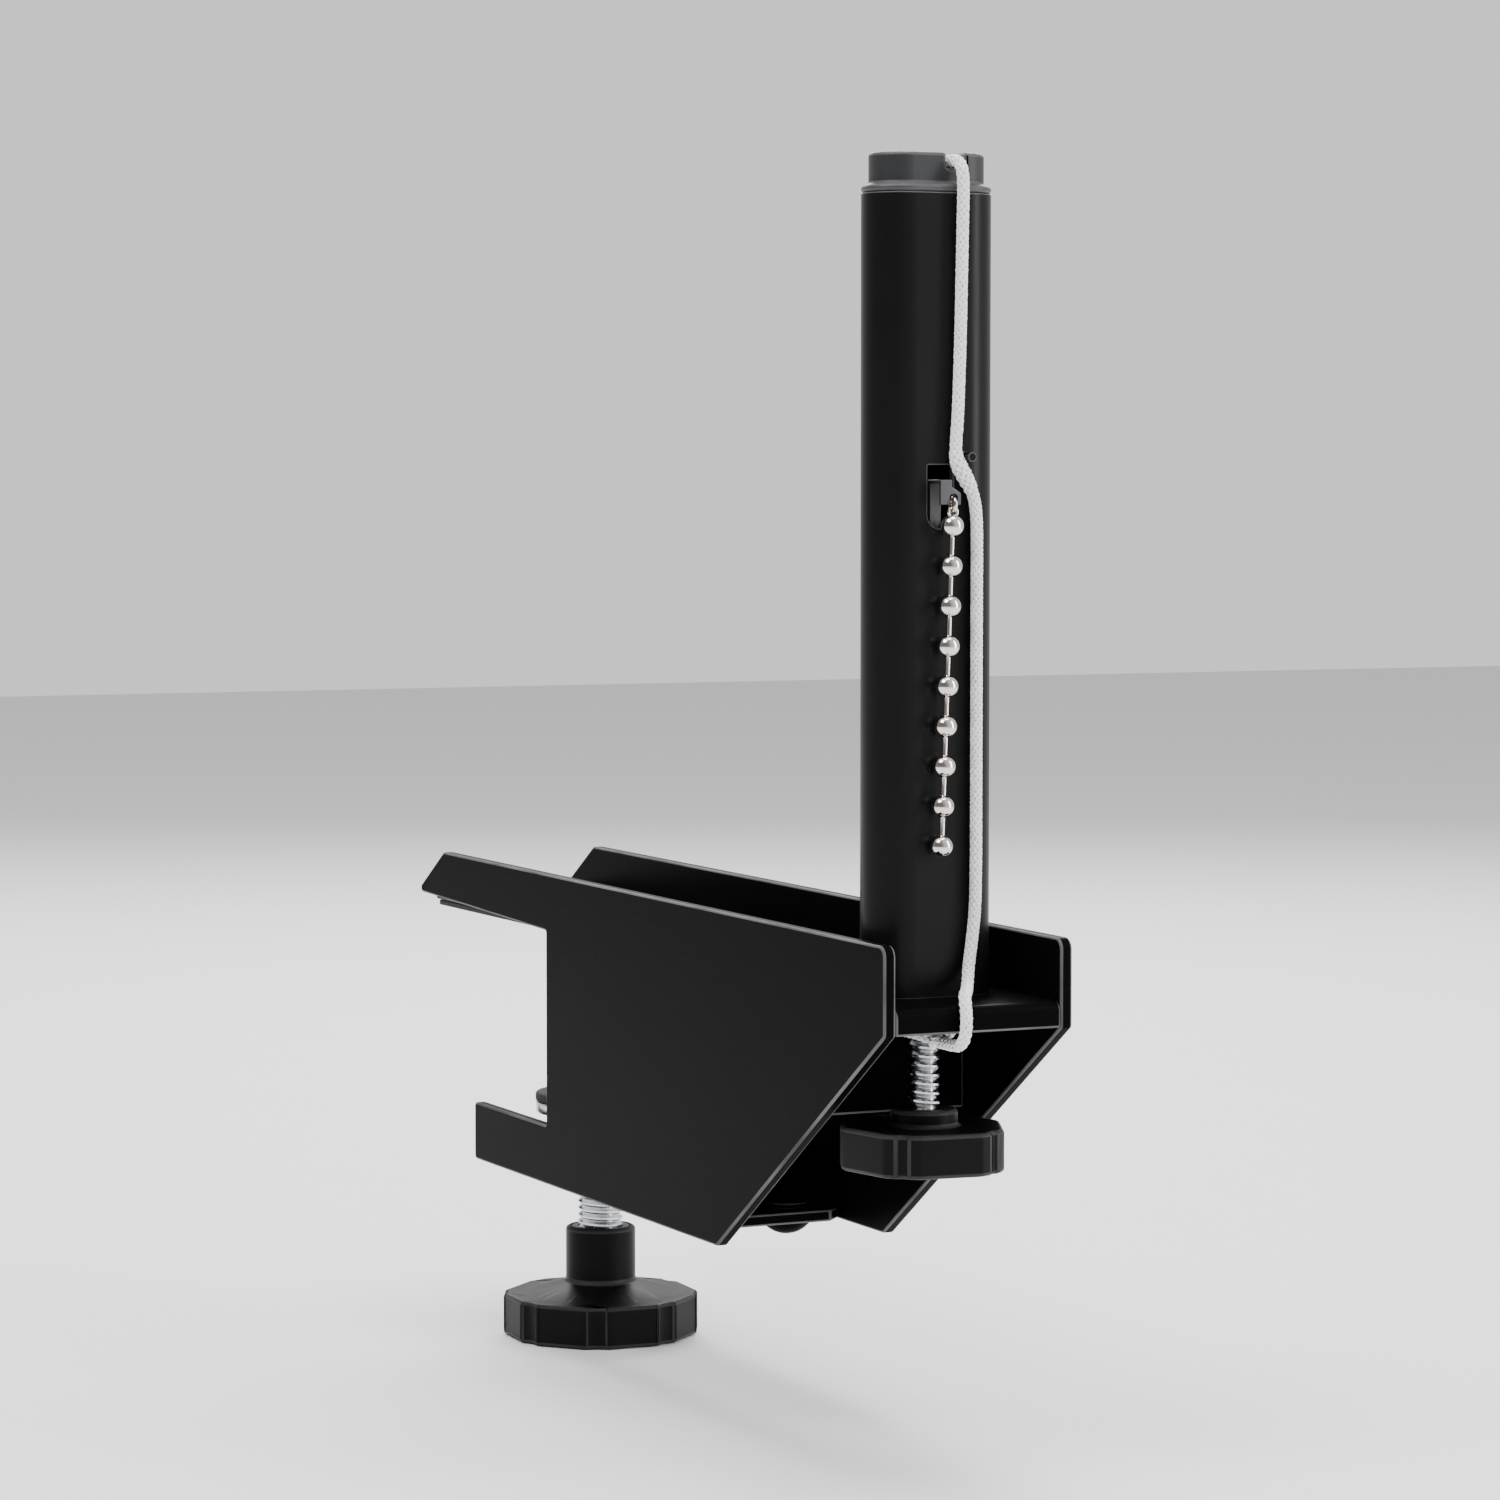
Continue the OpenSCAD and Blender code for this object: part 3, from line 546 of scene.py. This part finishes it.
rod_low, rod_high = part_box("height_screw")
shoulder = rod_high.z - TIP_H
screw("height_screw", HEIGHT_SCREW_R, HEIGHT_PITCH, HEIGHT_THREAD_DEPTH, rod_low.z, shoulder,
      "height_screw", (SHOULDER_R, shoulder), (TIP_R, shoulder), (TIP_R, rod_high.z - 0.4 * MM),
      (TIP_R - 0.4 * MM, rod_high.z), (0, rod_high.z))
rod_low, rod_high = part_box("clamp_screw")
neck = rod_high.z - PIVOT_HEAD_H
shank_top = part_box("pad_plate")[0].z - END_PLAY
screw("clamp_screw", CLAMP_SCREW_R, CLAMP_PITCH, CLAMP_THREAD_DEPTH, rod_low.z, shank_top,
      "clamp_screw", (PIVOT_HEAD_R, shank_top), (PIVOT_R, shank_top), (PIVOT_R, neck),
      (PIVOT_HEAD_R, neck), (PIVOT_HEAD_R, rod_high.z - 0.3 * MM),
      (PIVOT_HEAD_R - 0.3 * MM, rod_high.z), (0, rod_high.z))
rounded_piece("height_knob", 0.8 * MM, "black_plastic", "height_screw", steps=4)
rounded_piece("clamp_knob", 0.8 * MM, "black_plastic", "clamp_screw", steps=4)
rounded_piece("height_insert", 0.15 * MM, "black_oxide", "height_screw")
rounded_piece("clamp_insert", 0.15 * MM, "black_oxide", "clamp_screw")
rounded_piece("height_clip", 0.1 * MM, "grey_steel", "height_screw")
rounded_piece("pad_plate", 0.5 * MM, "zinc", "pressure_pad")
rounded_piece("pad_rubber", 0.5 * MM, "rubber", "pressure_pad")

# ---- Cord -------------------------------------------------------------------------------------

HITCH_TOP, HITCH_FOOT, HITCH_SWELL = 0.1045, 0.0960, 0.36


def swell(obj, line, top, foot, share):
    """Thickens the cord between two heights on its outer face, most in the middle, as a hitch does."""
    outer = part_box("post_tube")[1].x
    there = [p for p in line if foot - CORD_D < p.z < top + CORD_D and p.x > outer]
    for vertex in obj.data.vertices:
        if vertex.co.x > outer and foot < vertex.co.z < top:
            centre = min(there, key=lambda p: (p - vertex.co).length_squared)
            bulge = math.sin(math.pi * (centre.z - foot) / (top - foot))
            grown = centre + (vertex.co - centre) * (1 + share * max(0.0, bulge))
            grown.x = max(grown.x, outer + 0.05 * MM)
            vertex.co = grown


cord = braided("net_cord_piece", CORD_ROUTE)
swell(cord, smooth_line(CORD_ROUTE), HITCH_TOP, HITCH_FOOT, HITCH_SWELL)
cord.data.materials.clear()
cord.data.materials.append(FINISH["white_cord"])
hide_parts("net_cord")
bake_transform(cord)
finish(braided("cord_loop_piece", LOOP_ROUTE), "white_cord", "bracket", "cord_loop")

KNOT_REACH = 0.5 * MM
knot_line = [KNOT_AT + KNOT_REACH * Vector((1.25 * (math.sin(a) + 2 * math.sin(2 * a)),
                                            math.cos(a) - 2 * math.cos(2 * a), -0.9 * math.sin(3 * a)))
             for a in (2 * math.pi * i / 24 for i in range(24))]
finish(braided("cord_knot_piece", knot_line, closed=True, diameter=1.9 * MM, Yarn=0.22 * MM,
               Lay=6 * MM), "white_cord", "bracket", "cord_knot")

# ---- Bead chain -------------------------------------------------------------------------------

DOWN = Matrix.Rotation(-CHAIN_LEAN, 3, "X") @ -UP
LEAN = (-CHAIN_LEAN, 0, 0)


def round_profile(radius, bore, rows=14):
    """Half of a ball's outline, bored along its axis."""
    start = math.asin(bore / radius)
    turns = [-math.pi / 2 + start + (math.pi - 2 * start) * i / rows for i in range(rows + 1)]
    return [(radius * math.cos(a), radius * math.sin(a)) for a in turns]


ball = round_profile(BEAD_D / 2, BEAD_BORE_R)
lip = ball[-1]
inner = [(lip[0] - 0.06 * MM, lip[1] - 0.12 * MM), (0, lip[1] - 0.5 * MM)]
bead = pattern("bead", [(r, -z) for r, z in reversed(inner)] + ball + inner, sides=32)
beads = grow("chain_beads_piece", STRING, "nickel", bead, Count=BEADS,
             First=CHAIN_TOP + DOWN * FIRST_BEAD, Step=DOWN * BEAD_PITCH, Lean=LEAN)
shade(beads, 50)
finish(beads, "nickel", "bead_chain", "chain_beads")

link_half = (BEAD_PITCH - BEAD_D) / 2 + LINK_IN_BEAD
link = pattern("link", [(0, -link_half), (LINK_R, -link_half + 0.2 * MM),
                        (LINK_WAIST_R, -link_half + 0.8 * MM), (LINK_WAIST_R, link_half - 0.8 * MM),
                        (LINK_R, link_half - 0.2 * MM), (0, link_half)], sides=20)
links = grow("chain_links_piece", STRING, "nickel", link, Count=BEADS - 1,
             First=CHAIN_TOP + DOWN * (FIRST_BEAD + BEAD_PITCH / 2), Step=DOWN * BEAD_PITCH, Lean=LEAN)
shade(links, 50)
finish(links, "nickel", "bead_chain", "chain_links")
for node, body in (("chain_eye", "bead_chain"), ("chain_hook", "chain_hook")):
    ring = softened(node, 0.02 * MM, crease=80)
    shade(ring, 80)
    finish(ring, "nickel", body, node)

# ---- Floor, lights and camera -----------------------------------------------------------------

whole_low, whole_high = (Vector(corner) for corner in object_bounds())
middle = (whole_low + whole_high) / 2
FLOOR_HALF = 3.0
floor = on_stage("floor", bpy.data.meshes.new("floor"))
floor.data.from_pydata([(x * FLOOR_HALF, y * FLOOR_HALF, whole_low.z - 0.2 * MM)
                        for x, y in ((-1, -1), (1, -1), (1, 1), (-1, 1))], [], [(0, 1, 2, 3)])
floor.data.materials.append(surface("floor_paint", (0.80, 0.80, 0.795), 0.8, grain=4 * MM, bump=0.02,
                                    tint=(0.79, 0.79, 0.785)))
floor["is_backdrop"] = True


def softbox(name, place, size, power, aim):
    lamp = bpy.data.lights.new(name, "AREA")
    lamp.shape = "RECTANGLE"
    lamp.size, lamp.size_y = size
    lamp.energy = power
    obj = bpy.data.objects.new(name, lamp)
    scene.collection.objects.link(obj)
    obj.location = place
    obj.rotation_euler = (aim - Vector(place)).to_track_quat("-Z", "Y").to_euler()


softbox("key", (0.30, -0.80, 1.10), (0.6, 0.6), 14, middle)
softbox("side", (0.75, 0.75, 0.35), (0.25, 1.0), 9, middle)
softbox("back", (-0.9, 0.45, 0.75), (1.0, 0.5), 18, middle)
softbox("top", (0.05, 0.05, 1.15), (0.8, 0.5), 13, middle)

# The room is pale, and darker behind the camera, so that the beads mirror a dark centre
world = bpy.data.worlds.new("studio")
world.use_nodes = True
sky = world.node_tree
DARK_SIDE = (0.35, -0.94, 0.0)
facing = add(sky, "ShaderNodeVectorMath",
             {0: add(sky, "ShaderNodeTexCoord").outputs["Generated"], 1: DARK_SIDE},
             operation="DOT_PRODUCT").outputs["Value"]
dimming = add(sky, "ShaderNodeMapRange", {"Value": facing, "From Min": 0.05, "From Max": 0.75,
                                          "To Min": 1.0, "To Max": 0.22}).outputs[0]
pale = sky.nodes["Background"]
pale.inputs[0].default_value = (0.93, 0.935, 0.94, 1)
sky.links.new(dimming, pale.inputs[1])
scene.world = world

camera = bpy.data.objects.new("camera", bpy.data.cameras.new("camera"))
scene.collection.objects.link(camera)
camera.location = (0.9235, -0.4015, 0.099)
camera.rotation_euler = Vector((-0.9045, 0.4224, -0.0592)).to_track_quat("-Z", "Y").to_euler()
camera.data.lens = 110
camera.data.sensor_width = 36
scene.camera = camera
